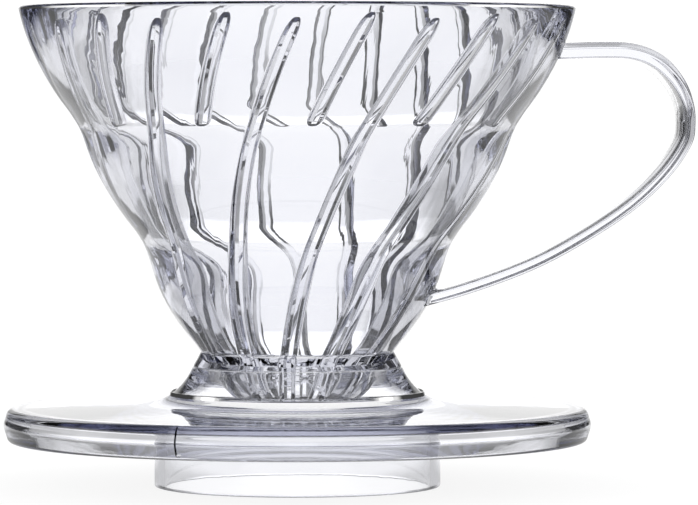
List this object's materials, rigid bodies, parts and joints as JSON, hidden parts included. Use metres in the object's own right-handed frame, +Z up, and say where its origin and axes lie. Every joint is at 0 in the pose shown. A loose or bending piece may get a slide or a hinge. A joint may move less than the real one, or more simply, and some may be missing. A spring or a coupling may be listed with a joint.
{
  "type": "pour over dripper",
  "caption": "Clear plastic cone filter holder with spiral ribs, a loop handle, and a flat base plate whose collar locates it on a cup.",
  "frame": {"origin": "under the middle of the overall width, at the foot of the locating collar; the cone's axis is 8.75 mm towards -X from it", "axes": "+X towards the handle, +Z up along the cone's axis"},
  "size_m": [0.1174, 0.1, 0.0815],
  "materials": {
    "clear_plastic": "clear, polished"
  },
  "bodies": {
    "root": {"cone_wall": "clear_plastic", "rim_lip": "clear_plastic", "long_rib_01": "clear_plastic", "long_rib_02": "clear_plastic", "long_rib_03": "clear_plastic", "long_rib_04": "clear_plastic", "long_rib_05": "clear_plastic", "long_rib_06": "clear_plastic", "long_rib_07": "clear_plastic", "long_rib_08": "clear_plastic", "long_rib_09": "clear_plastic", "long_rib_10": "clear_plastic", "long_rib_11": "clear_plastic", "long_rib_12": "clear_plastic", "short_rib_01": "clear_plastic", "short_rib_02": "clear_plastic", "short_rib_03": "clear_plastic", "short_rib_04": "clear_plastic", "short_rib_05": "clear_plastic", "short_rib_06": "clear_plastic", "short_rib_07": "clear_plastic", "short_rib_08": "clear_plastic", "short_rib_09": "clear_plastic", "short_rib_10": "clear_plastic", "short_rib_11": "clear_plastic", "short_rib_12": "clear_plastic", "neck_ring": "clear_plastic", "outlet_spout": "clear_plastic", "base_skirt": "clear_plastic", "base_plate": "clear_plastic", "base_rim": "clear_plastic", "locating_collar": "clear_plastic", "handle": "clear_plastic"}
  },
  "joints": []
}
